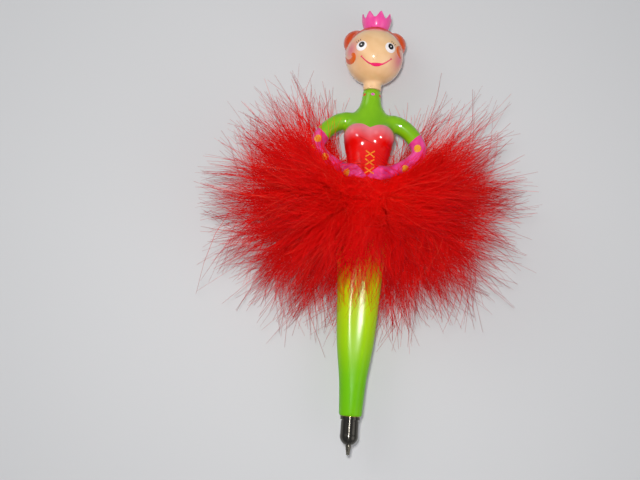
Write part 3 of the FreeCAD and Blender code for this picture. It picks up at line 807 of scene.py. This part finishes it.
@dataclass
class UpperBody(Moulding):
    """Neck, shoulders, dress top, arms and gloved hands; pairs of numbers are x and station."""

    cell: float = 0.38
    cuff: tuple = (17.95, 125.75)
    glove_margin: float = 0.35
    # Points along an arm from shoulder to fingertips: x, station, z and radius
    arm: tuple = (
        *((6.7, 132.1, -0.4, 3.9), (11.8, 132.0, -0.2, 3.5), (16.0, 129.2, 0.0, 3.35)),
        *((19.9, 124.2, 0.1, 3.25), (20.8, 120.6, 0.2, 3.25), (18.7, 117.4, 0.5, 3.0)),
        *((14.1, 114.1, 1.9, 2.6), (9.2, 111.6, 2.8, 2.2), (5.9, 110.4, 5.2, 2.6), (2.4, 110.4, 6.4, 2.5)),
    )
    lobe: float = 4.4
    bodice_half: float = 10.4
    neckline_top: float = 129.9
    neckline_notch: float = 128.4
    neckline_side: float = 125.2
    laces: tuple = (117.6, 114.2, 110.8)
    lace_middle: float = 0.7
    lace_half: tuple = (1.75, 1.25)
    glove_dots: tuple = (
        *((-20.6, 123.3), (-22.5, 119.2), (-17.1, 115.9), (-8.2, 109.6)),
        *((19.6, 122.0), (20.8, 115.3), (15.2, 113.1)),
    )
    # Where edges are rubbed down: a start, and the way over which it grows to its full strength
    joins_from: tuple = (114.0, 8.0)
    bust_from: tuple = (115.0, 3.0)
    bust_across: tuple = (10.6, 2.0)
    bust_height: tuple = (0.5, 2.0)
    join_rounds: int = 21
    bust_rounds: int = 120
    collar: float = 143.3
    collar_radius: float = 3.9
    collar_dots: int = 6
    layer: float = 0.05

    def build(self) -> None:
        """Builds the body and everything painted on it."""
        skin = lacquered_copy(self.nodes["upper_body"], "body_lacquered", self.cell, 2)
        self.soften(skin)
        place = corners(skin)
        mark(skin, "dress", self.inside_dress(place))
        mark(skin, "glove", self.inside_gloves(place))
        finish_piece(skin, BodyEnamel().build())
        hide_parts("upper_body")
        self.tree = tree_of(skin)
        self.paint_laces()
        self.paint_dots()

    def soften(self, skin: Object) -> None:
        """Rubs the joins of neck and shoulders down more than the hands, and the bust most of all.

        Args:
            skin: The body's skin.
        """
        across, station, height = corners(skin).T
        joins = np.clip((station - self.joins_from[0]) / self.joins_from[1], 0, 1)
        bust = np.clip((self.bust_across[0] - np.abs(across)) / self.bust_across[1], 0, 1)
        bust *= np.clip((height - self.bust_height[0]) / self.bust_height[1], 0, 1)
        bust *= np.clip((station - self.bust_from[0]) / self.bust_from[1], 0, 1)
        for name, share, rounds in (("joins", joins, self.join_rounds), ("bust", bust, self.bust_rounds)):
            group = skin.vertex_groups.new(name=name)
            for index in np.nonzero(share > 0)[0]:
                group.add([int(index)], float(share[index]), "REPLACE")
            rub(skin, name, rounds, name)
        apply_all(skin)
        skin.vertex_groups.clear()

    def inside_dress(self, place: ndarray) -> ndarray:
        """Measures how far places lie inside the dress, below its heart-shaped edge.

        Args:
            place: Places in the pen's own frame.

        Returns:
            Millimetres inside the dress, below zero outside it.
        """
        across = np.abs(place[:, 0])
        rise = np.clip(across / self.lobe, 0, 1)
        inner = self.neckline_notch + (self.neckline_top - self.neckline_notch) * np.sin(rise * math.pi / 2)
        fall = np.clip((across - self.lobe) / (self.bodice_half - self.lobe), 0, 1)
        outer = self.neckline_top - (self.neckline_top - self.neckline_side) * (1 - np.sqrt(1 - fall**2))
        front = np.where(across < self.lobe, inner, outer)
        edge = np.where(place[:, 2] > 0, front, self.neckline_side)
        return np.minimum(edge - place[:, 1], (self.bodice_half + 1.0 - across) * 4)

    def inside_gloves(self, place: ndarray) -> ndarray:
        """Measures how far places lie inside a glove, past its cuff.

        Args:
            place: Places in the pen's own frame.

        Returns:
            Millimetres inside a glove, below zero outside both.
        """
        best = np.full(len(place), -10.0)
        for side in (-1, 1):
            path = np.array(self.arm) * [side, 1, 1, 1]
            near = np.full(len(place), -10.0)
            for first, last in zip(path, path[1:]):
                line = last[:3] - first[:3]
                t = np.clip(((place - first[:3]) @ line) / (line @ line), 0, 1)
                radius = first[3] + (last[3] - first[3]) * t
                gap = np.linalg.norm(place - (first[:3] + t[:, None] * line), axis=1)
                near = np.maximum(near, radius + self.glove_margin - gap)
            # The cuff is square to the forearm, which runs down and outwards at about 44 degrees
            past = (place[:, 0] - side * self.cuff[0]) * side * 0.69 - (place[:, 1] - self.cuff[1]) * 0.72
            own = (place[:, 0] * side > -0.2) * 20.0 - 10.0
            best = np.maximum(best, np.minimum(np.minimum(near, past), own))
        return best

    def paint_laces(self) -> None:
        """Paints three crossed laces down the front of the dress."""
        amber = self.brush(Slot.BODY, "lace_amber", "#F09A22", "#E88420")
        half, height = self.lace_half
        for number, station in enumerate(self.laces, 1):
            for lean, letter, lift in ((-1, "a", self.layer), (1, "b", self.layer + 0.04)):
                points = [
                    on_front(self.tree, self.lace_middle + half * share, station + lean * height * share)
                    for share in (-1, -0.5, 0, 0.5, 1)
                ]
                piece = stroke(f"lace_{number}_{letter}", points, [0.26, 0.24, 0.24, 0.24, 0.26])
                amber.paint(piece, lift, 0.3)

    def paint_dots(self) -> None:
        """Paints the dots on the gloves and on the collar."""
        yellow, pink, orange = (
            self.brush(Slot.BODY, *enamel)
            for enamel in (
                ("dot_yellow", "#F0B62E", "#E8A024"),
                ("dot_pink", "#E070B0", "#D864A4"),
                ("dot_orange", "#E0581A", "#D44C12"),
            )
        )
        for number, spot in enumerate(self.glove_dots, 1):
            dot = dab(f"glove_dot_{number}", on_front(self.tree, *spot), (1.45, 1.55, 1.5))
            yellow.paint(dot, self.layer, 0.06)
        for number in range(self.collar_dots):
            a = math.radians(5 + 360 / self.collar_dots * number)
            place = pen(self.collar_radius * math.sin(a), self.collar, self.collar_radius * math.cos(a))
            dot = dab(f"collar_dot_{number + 1}", place, (0.85, 0.58, 0.85))
            (pink if number % 2 == 0 else orange).paint(dot, self.layer, 0.08)


@dataclass
class Legs(Moulding):
    """The legs, which are the pen's barrel."""

    cell: float = 0.5

    def build(self) -> None:
        """Builds the legs."""
        skin = lacquered_copy(self.nodes["legs_barrel"], "legs_lacquered", self.cell, 8)
        finish_piece(skin, LegEnamel().build())
        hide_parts("legs_barrel")
        self.tree = tree_of(skin)


@dataclass
class Crown(Moulding):
    """The small crown, with its points rubbed round by the lacquer."""

    cell: float = 0.2

    def build(self) -> None:
        """Builds the crown."""
        skin = lacquered_copy(self.nodes["crown"], "crown_lacquered", self.cell, 5)
        finish_piece(skin, Lacquer("crown_enamel_pink", "#F256A4", "#E84696").build())
        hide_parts("crown")


@dataclass
class WritingEnd:
    """Nose, refill, cord and the parts hidden in the barrel, which keep their CAD shapes."""

    nodes: dict

    def build(self) -> None:
        """Dresses the CAD nodes."""
        finishes = {
            # Painted shade: the nose cone's and the refill tip's metal colours are darkened to stand for the
            # reflection of a dark room
            "nose_cone": PlatedMetal("nickel_plated_brass", "#524F49", 0.24),
            "refill_tip": PlatedMetal("refill_tip_nickel_silver", "#726D62", 0.26),
            "writing_ball": PlatedMetal("writing_ball_steel", "#C4C4C8", 0.1),
            "thread_insert": PlatedMetal("thread_insert_brass", "#D0A85A", 0.25),
            "guide_tube": Plain("guide_tube_polypropylene", "#E8E6E0", "#DEDCD4", 0.45),
            "refill_tube": Plain("refill_tube_polypropylene", "#E4E8EC", "#D8DCE0", 0.3, 0.6),
            "ink_column": Plain("ink_blue_paste", "#0A1238", "#060C28", 0.2),
            "skirt_cord": Plain("skirt_cord_twisted_cotton", "#8A0A0C", "#6A0608", 0.8),
        }
        for name, finish in finishes.items():
            node = self.nodes[name]
            node.data.materials.clear()
            node.data.materials.append(finish.build())
            LOG.info("%s: %s", name, finish.name)


@dataclass
class Skirt:
    """The feather skirt: each plume's quill carries clumps of fine barbs of down.

    Of the barbs drawn for a feather, those that would hide the doll fall away, and the first
    ones of the rest are kept. A few clumps are short and wide, and the rest long and narrow.
    """

    nodes: dict
    body: BVHTree
    legs: BVHTree
    drawn: int = 1100
    barbs: int = 620
    clumps: int = 50
    sides: int = 3
    rings: int = 6
    barb_radius: float = 0.098
    # How much a barb thins towards its tip
    taper: float = 0.6
    thickness: tuple = (0.7, 1.25)
    over_reach: float = 1.07
    # Degrees that long clumps and short ones spread sideways and upwards
    fan: tuple = (16.5, 39.6)
    rise: tuple = (8.0, 16.0)
    short_share: float = 0.34
    short_lift: float = 0.12
    # Shares of the plume's reach that short and long clumps have at least, and may have on top
    short_reach: tuple = (0.2, 0.22)
    long_reach: tuple = (0.48, 0.55)
    own_reach: tuple = (0.8, 1.06)
    # How far ends stray within a clump, at the waist and more at the full reach
    stray_ends: tuple = (0.9, 2.0)
    root_share: float = 0.62
    # Degrees at which barbs leave the quill, and the share of their length where they bend
    slant: tuple = (8, 48)
    bend_at: tuple = (0.32, 0.52)
    sway: float = 0.022
    sway_turns: tuple = (6, 5)
    floor_gap: float = 0.25
    waist: float = 100.0
    widest: float = 67.0
    highest: float = 50.0
    # Above this station barbs in front of the body and arms are left out, except a share
    bare_from: float = 107.6
    over_body: float = 0.26
    arms_half: float = 27.0
    arms_back: float = -3.0
    looks: int = 18
    fluff: int = 1050
    fluff_reach: float = 13.0
    fluff_circle: float = 7.6
    # Degrees round the waist from straight ahead, and stations from the waist, where fluff starts
    fluff_round: tuple = (-25, 70)
    fluff_along: tuple = (-3.0, 4.5)
    fluff_height: tuple = (1.0, 4.5)
    # How far along the down's colours the fluff reaches: it stays near the painted light of the quill
    fluff_tone: float = 0.3
    # The veil: how many barbs, how far they hang down, and their height in front of the axis
    veil: int = 175
    veil_drop: tuple = (22, 44)
    veil_height: tuple = (8, 12)
    # Ends beside the shoulders or over the thighs are thinned to a share
    thin_from: float = 124.0
    thigh_from: float = 81.0
    thigh_half: float = 10.0
    thin_share: float = 0.42
    # The loose barb on the dress: x and station of its ends, how far it bows, and its widths
    stray_from: tuple = (-9.2, 125.6)
    stray_to: tuple = (8.9, 118.0)
    stray_bow: float = 0.8
    stray_lift: float = 0.12
    stray_widths: tuple = (0.07, 0.08, 0.08, 0.07, 0.06, 0.04)
    seed: int = 11

    def build(self) -> None:
        """Builds the down of every plume."""
        barb = self.model_barb()
        material = Down().build()
        names = sorted(name for name in self.nodes if name.startswith("plume_"))
        for number, name in enumerate(names):
            rng = np.random.default_rng(self.seed + number)
            piece = self.feather(self.nodes[name], name.replace("plume_", "down_"), barb, rng)
            finish_piece(piece, material)
            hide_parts(name)
        bpy.data.objects.remove(barb)
        self.stray(material)

    @property
    def home(self) -> ndarray:
        """The middle of the waist, in millimetres in the pen's own frame."""
        return np.array([0.0, self.waist, 0.0])

    def model_barb(self) -> Object:
        """Models one barb: a tapering hair along Z, one unit long and one unit in radius.

        Returns:
            The barb, which is removed once every feather has its copies.
        """
        activate()
        bpy.ops.mesh.primitive_cylinder_add(
            vertices=self.sides, radius=1.0, depth=1.0, location=(0, 0, 0.5), end_fill_type="NGON"
        )
        barb = bpy.context.active_object
        settle(barb)
        bpy.ops.object.mode_set(mode="EDIT")
        for ring in range(1, self.rings - 1):
            bpy.ops.mesh.select_all(action="SELECT")
            bpy.ops.mesh.bisect(plane_co=(0, 0, ring / (self.rings - 1)), plane_no=(0, 0, 1))
        bpy.ops.mesh.select_all(action="DESELECT")
        bpy.ops.object.mode_set(mode="OBJECT")
        for vertex in barb.data.vertices:
            thin = 1.0 - self.taper * vertex.co.z**1.6
            vertex.co.x *= thin
            vertex.co.y *= thin
        return barb

    def stray(self, material: Material) -> None:
        """Lays one loose barb across the front of the dress.

        Args:
            material: The down's material.
        """
        places = []
        for share in np.linspace(0, 1, len(self.stray_widths)):
            x, station = (a + (b - a) * share for a, b in zip(self.stray_from, self.stray_to))
            station += self.stray_bow * math.sin(math.pi * share)
            places.append(on_front(self.body, x, station) + Vector((0, 0, self.stray_lift * MM)))
        barb = stroke("stray_barb", places, self.stray_widths, 1)
        # Marked as lying wholly at the tip, the barb takes the down's painted shade all along
        mark(barb, "along", np.ones(len(barb.data.vertices)))
        mark(barb, "tint", np.zeros(len(barb.data.vertices)))
        finish_piece(barb, material)

    def spine_of(self, node: Object) -> ndarray:
        """Finds a plume's quill.

        Args:
            node: The CAD plume.

        Returns:
            Points from the cord to the plume's tip, in millimetres.
        """
        place = corners(node)
        out = np.linalg.norm(place - self.home, axis=1)
        tip = place[out.argmax()]
        root = place[out < out.min() + 0.8].mean(0)
        line = (tip - root) / np.linalg.norm(tip - root)
        reach = (place - root) @ line
        spine = [root]
        for low, high in ((0.05, 0.2), (0.2, 0.4)):
            inside = (reach > low * reach.max()) & (reach < high * reach.max())
            if inside.any():
                spine.append(place[inside].mean(0))
        spine.append(tip)
        return np.array(spine)

    def along_spine(self, spine: ndarray, share: ndarray) -> tuple[ndarray, ndarray]:
        """Gives places and headings along a quill.

        Args:
            spine: Points of the quill.
            share: How far along, from 0 to 1, for each barb.

        Returns:
            The places and the unit headings.
        """
        lengths = np.linalg.norm(np.diff(spine, axis=0), axis=1)
        marks = np.concatenate([[0], np.cumsum(lengths)]) / lengths.sum()
        place, ahead = (
            np.stack([np.interp(share + shift, marks, axis) for axis in spine.T], 1) for shift in (0.0, 0.12)
        )
        return place, unit(ahead - place)

    def targets(self, spine: ndarray, rng: Generator) -> tuple[ndarray, ndarray, ndarray]:
        """Chooses where each barb ends: the barbs of a clump end close together.

        Args:
            spine: Points of the quill.
            rng: Seeded random numbers.

        Returns:
            The ends, each end's share of the plume's reach, and each clump's number.
        """
        tip = spine[-1] - self.home
        reach = np.linalg.norm(tip) * self.over_reach
        heading = math.atan2(tip[1], tip[0])
        rise = math.asin(tip[2] / np.linalg.norm(tip))
        short = rng.random(self.clumps) < self.short_share
        turn, lift = (
            start + np.radians(rng.normal(0, 1, self.clumps) * np.where(short, wide, narrow))
            for start, (narrow, wide) in ((heading, self.fan), (rise, self.rise))
        )
        lift = lift + np.where(short, self.short_lift, 0.0)
        near = self.short_reach[0] + self.short_reach[1] * rng.random(self.clumps)
        far = self.long_reach[0] + self.long_reach[1] * rng.random(self.clumps) ** 0.75
        far = np.where(short, near, far)
        level = np.cos(lift)
        aim = np.stack([np.cos(turn) * level, np.sin(turn) * level, np.sin(lift)], 1)
        clump = rng.integers(0, self.clumps, self.drawn)
        own = far[clump] * rng.uniform(*self.own_reach, self.drawn)
        ends = self.home + aim[clump] * (own * reach)[:, None]
        stray = self.stray_ends[0] + self.stray_ends[1] * far[clump]
        ends += rng.normal(0, 1, (self.drawn, 3)) * stray[:, None]
        room = self.widest / np.maximum(np.abs(ends[:, 0]), 1.0)
        room = np.minimum(room, self.highest / np.maximum(ends[:, 2], 1.0))
        trim = np.where(room < 1, room * rng.uniform(0.9, 1.0, self.drawn), 1.0)
        ends = self.home + (ends - self.home) * trim[:, None]
        return ends, np.minimum(own, 1.0), clump

    def front_fluff(
        self, starts: ndarray, ends: ndarray, side: int, rng: Generator
    ) -> tuple[ndarray, ndarray]:
        """Adds the short fluff that hides the cord, and the long thin veil over the thighs.

        Args:
            starts: Where the plume's own barbs start.
            ends: Where they end.
            side: -1 on the left and 1 on the right.
            rng: Seeded random numbers.

        Returns:
            The starts and the ends with the fluff added.
        """
        round_waist = np.radians(side * rng.uniform(*self.fluff_round, self.fluff))
        out = np.stack([np.sin(round_waist), np.zeros(self.fluff), np.cos(round_waist)], 1)
        roots = out * self.fluff_circle + self.home
        roots += rng.normal(0, 0.6, (self.fluff, 3))
        roots[:, 1] += rng.uniform(*self.fluff_along, self.fluff)
        turn = rng.uniform(0, 2 * math.pi, self.fluff)
        length = self.fluff_reach * rng.uniform(0.3, 1.0, self.fluff)
        along = np.stack([np.cos(turn), np.sin(turn) - 0.2, np.zeros(self.fluff)], 1)
        tips = roots + along * length[:, None] + out * rng.uniform(*self.fluff_height, self.fluff)[:, None]
        tips[:, 1] = np.minimum(tips[:, 1], self.bare_from + rng.uniform(-1.5, 1.5, self.fluff))
        station = self.waist - rng.uniform(*self.veil_drop, self.veil)
        across = rng.normal(side * 3.0 - 2.0, 4.0, self.veil)
        tips[: self.veil] = np.stack([across, station, rng.uniform(*self.veil_height, self.veil)], 1)
        return np.concatenate([starts, roots]), np.concatenate([ends, tips])

    def left_out(self, path: ndarray, rng: Generator) -> ndarray:
        """Finds the barbs that would hide the arms, the dress or the thighs, except a few.

        Args:
            path: Places along each barb, in millimetres.
            rng: Seeded random numbers.

        Returns:
            True for each barb to leave out.
        """
        hides = np.zeros(len(path), bool)
        near = (path[..., 1] > self.bare_from) & (path[..., 2] > self.arms_back)
        near &= np.abs(path[..., 0]) < self.arms_half
        for barb, ring in zip(*np.nonzero(near)):
            if not hides[barb]:
                x, station, z = path[barb, ring]
                place = seen_from_front(self.body, x, station)
                hides[barb] = place is not None and place.z / MM - AXIS_HEIGHT < z + 0.5
        hides &= rng.random(len(path)) > self.over_body
        ends = path[:, -1]
        high = ends[:, 1] > self.thin_from + rng.normal(0, 2.0, len(path))
        thigh = (np.abs(ends[:, 0]) < self.thigh_half) & (ends[:, 1] < self.thigh_from) & (ends[:, 2] > 0)
        return hides | ((high | thigh) & (rng.random(len(path)) > self.thin_share))

    def lift_off(self, path: ndarray) -> None:
        """Lifts places on barbs that would lie inside the thighs onto their front.

        Args:
            path: Places along each barb, in millimetres, which are changed.
        """
        inside = (path[..., 1] < self.waist - 3) & (path[..., 2] > 0)
        inside &= np.abs(path[..., 0]) < self.thigh_half + 1
        for barb, ring in zip(*np.nonzero(inside)):
            x, station, z = path[barb, ring]
            place = seen_from_front(self.legs, x, station)
            if place is not None:
                path[barb, ring, 2] = max(z, place.z / MM - AXIS_HEIGHT + 0.3)

    def bend(self, starts: ndarray, ends: ndarray, heading: ndarray, rng: Generator) -> ndarray:
        """Chooses the point that each barb leans to, so that it leaves the quill at a slant.

        Args:
            starts: Where the barbs start.
            ends: Where they end.
            heading: The quill's heading at each start.
            rng: Seeded random numbers.

        Returns:
            The points.
        """
        count = len(starts)
        way = ends - starts
        across = unit(np.cross(heading, np.array([0.0, 0.0, 1.0])))
        side = np.sign(np.sum(way * across, axis=1) + rng.normal(0, 2.0, count))
        angle = np.radians(rng.uniform(*self.slant, count)) * side
        leave = heading * np.cos(angle)[:, None] + across * np.sin(angle)[:, None]
        leave += np.cross(across, heading) * rng.normal(0.08, 0.2, count)[:, None]
        length = np.linalg.norm(way, axis=1)
        return starts + unit(leave) * (length * rng.uniform(*self.bend_at, count))[:, None]

    def feather(self, node: Object, name: str, barb: Object, rng: Generator) -> Object:
        """Makes one feather from copies of the modelled barb.

        Args:
            node: The CAD plume that it stands for.
            name: The new piece's name.
            barb: The modelled barb.
            rng: Seeded random numbers.

        Returns:
            The feather.
        """
        spine = self.spine_of(node)
        ends, far, clump = self.targets(spine, rng)
        share = rng.uniform(0.0, self.root_share, self.drawn) * far
        starts, heading = self.along_spine(spine, share)
        in_front = name.startswith("down_front")
        if in_front:
            side = Side.LEFT if "left" in name else Side.RIGHT
            starts, ends = self.front_fluff(starts, ends, side.value, rng)
            heading = np.concatenate([heading, unit(ends[self.drawn :] - starts[self.drawn :])])
            share = np.concatenate([share, np.zeros(self.fluff)])
            far = np.concatenate([far, np.full(self.fluff, self.fluff_tone)])
            clump = np.concatenate([clump, rng.integers(0, self.clumps, self.fluff)])
        count = len(starts)
        middles = self.bend(starts, ends, heading, rng)

        # Every barb's corners along its curve, with a little sway, above the floor
        form = np.array([v.co for v in barb.data.vertices])
        t = form[:, 2][None, :, None]
        path = curve(starts, middles, ends, t)
        ahead = unit(2 * (1 - t) * (middles - starts)[:, None] + 2 * t * (ends - middles)[:, None])
        first = unit(np.cross(ahead, np.array([0.01, 0.01, 1.01])))
        second = np.cross(ahead, first)
        phase = rng.uniform(0, 2 * math.pi, count)[:, None, None]
        length = np.linalg.norm(ends - starts, axis=1)[:, None, None]
        sway = length * t * rng.normal(0, self.sway, (count, 2))[:, None, :]
        path += first * sway[..., :1] * np.sin(phase + self.sway_turns[0] * t)
        path += second * sway[..., 1:] * np.cos(phase + self.sway_turns[1] * t)
        if in_front:
            self.lift_off(path[self.drawn :])
        low = self.floor_gap + 0.7 * rng.random(count)[:, None] - AXIS_HEIGHT
        path[..., 2] = np.maximum(path[..., 2], low)
        radius = (self.barb_radius * rng.uniform(*self.thickness, count))[:, None, None]
        points = path + radius * (first * form[:, :1] + second * form[:, 1:2])

        fine = np.linspace(0, 1, self.looks)[None, :, None]
        kept = np.nonzero(~self.left_out(curve(starts, middles, ends, fine), rng))[0]
        kept = np.concatenate([kept[kept < self.drawn][: self.barbs], kept[kept >= self.drawn]])
        # Each corner's share of the way out; the down's finish turns it from painted light at the quill to
        # painted shade at the tips
        along = share[:, None] + (far - share)[:, None] * form[:, 2][None]
        tint = 0.6 * rng.random(self.clumps)[clump] + 0.4 * rng.random(count)
        piece = self.weave(name, points[kept], [list(p.vertices) for p in barb.data.polygons])
        mark(piece, "along", along[kept].reshape(-1))
        mark(piece, "tint", np.repeat(tint[kept], len(form)))
        return piece

    def weave(self, name: str, points: ndarray, shape: list) -> Object:
        """Makes one mesh of many copies of a shape.

        Args:
            name: The new piece's name.
            points: The corners of each copy, in millimetres in the pen's own frame.
            shape: The faces of the shape, as numbers of its corners.

        Returns:
            The piece.
        """
        copies, total, _ = points.shape
        flat = points.reshape(-1, 3) - np.array([0.0, HALF_LENGTH, -AXIS_HEIGHT])
        faces = [[i + k * total for i in face] for k in range(copies) for face in shape]
        mesh = bpy.data.meshes.new(name)
        mesh.from_pydata((flat * MM).tolist(), [], faces)
        mesh.update()
        piece = put_in_scene(name, mesh)
        smooth(piece)
        return piece


@dataclass
class Studio:
    """Floor, lamps and the camera at the photograph's viewing angle."""

    camera: tuple = (-12.79, 29.82, 334.23)
    tilt: float = 9.0
    turn: float = 4.22
    focal_pixels: float = 850.0
    picture_width: float = 640
    sensor: float = 36.0
    # Each lamp: name, place, size in millimetres and power in watts
    lights: tuple = (
        ("flash", (-30, 58, 350), 30, 0.9),
        ("softbox", (-460, 380, 420), 460, 0.8),
        ("fill", (520, -160, 380), 460, 0.6),
    )
    sky: tuple = (0.9, 0.93, 1.0, 1)
    sky_strength: float = 0.3
    floor_glow: float = 0.1

    def build(self) -> None:
        """Sets the stage."""
        self.place_camera()
        self.lay_floor()
        self.hang_lamps()
        bpy.context.scene.view_settings.view_transform = "Standard"

    def place_camera(self) -> None:
        """Adds the camera, tilted a little from straight down."""
        data = bpy.data.cameras.new("camera")
        data.sensor_width = self.sensor
        data.lens = self.sensor * self.focal_pixels / self.picture_width
        data.clip_start = 0.01
        data.clip_end = 10
        camera = put_in_scene("camera", data)
        camera.location = pen(*self.camera)
        camera.rotation_euler = (math.radians(self.tilt), 0, math.radians(self.turn))
        bpy.context.scene.camera = camera

    def lay_floor(self) -> None:
        """Adds a plain pale floor, with a little light of its own so that its far end stays pale."""
        activate()
        bpy.ops.mesh.primitive_plane_add(size=6, location=(0, 0, 0))
        floor = bpy.context.active_object
        floor.name = "floor"
        material, tree, shader = new_material("floor_paper")
        # Only the eye, metal and glass see the light
        ray = add(tree, "ShaderNodeLightPath").outputs
        largest = {"operation": "MAXIMUM"}
        both = add(tree, "ShaderNodeMath", largest, {0: ray["Is Camera Ray"], 1: ray["Is Glossy Ray"]})
        every = add(tree, "ShaderNodeMath", largest, {0: both.outputs[0], 1: ray["Is Transmission Ray"]})
        part = {"operation": "MULTIPLY", 1: self.floor_glow}
        glow = add(tree, "ShaderNodeMath", part, {0: every.outputs[0]})
        paper = {"Base Color": linear("#C2C2C2"), "Roughness": 0.9, "Emission Color": linear("#D8D8DA")}
        wire(tree, shader, paper, {"Emission Strength": glow.outputs[0]})
        floor.data.materials.append(material)

    def hang_lamps(self) -> None:
        """Adds a small flash near the camera, two broad soft lamps and an even sky."""
        for name, place, size, power in self.lights:
            data = bpy.data.lights.new(name, "AREA")
            data.shape = "DISK"
            data.size = size * MM
            data.energy = power
            lamp = put_in_scene(name, data)
            lamp.location = pen(*place)
            aim = pen(0, 100) - lamp.location
            lamp.rotation_euler = aim.to_track_quat("-Z", "Y").to_euler()
        world = bpy.data.worlds.new("studio")
        bpy.context.scene.world = world
        world.use_nodes = True
        back = world.node_tree.nodes["Background"]
        back.inputs[0].default_value = self.sky
        back.inputs[1].default_value = self.sky_strength


def main() -> None:
    """Builds the whole pen in order."""
    logging.basicConfig(level=logging.INFO, format="%(name)s %(message)s")
    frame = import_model()
    nodes = frame["nodes"]
    legs = Legs(nodes)
    body = UpperBody(nodes)
    for part in (Studio(), legs, body, Head(nodes), Crown(nodes), WritingEnd(nodes)):
        part.build()
    Skirt(nodes, body.tree, legs.tree).build()


if __name__ == "__main__":
    main()
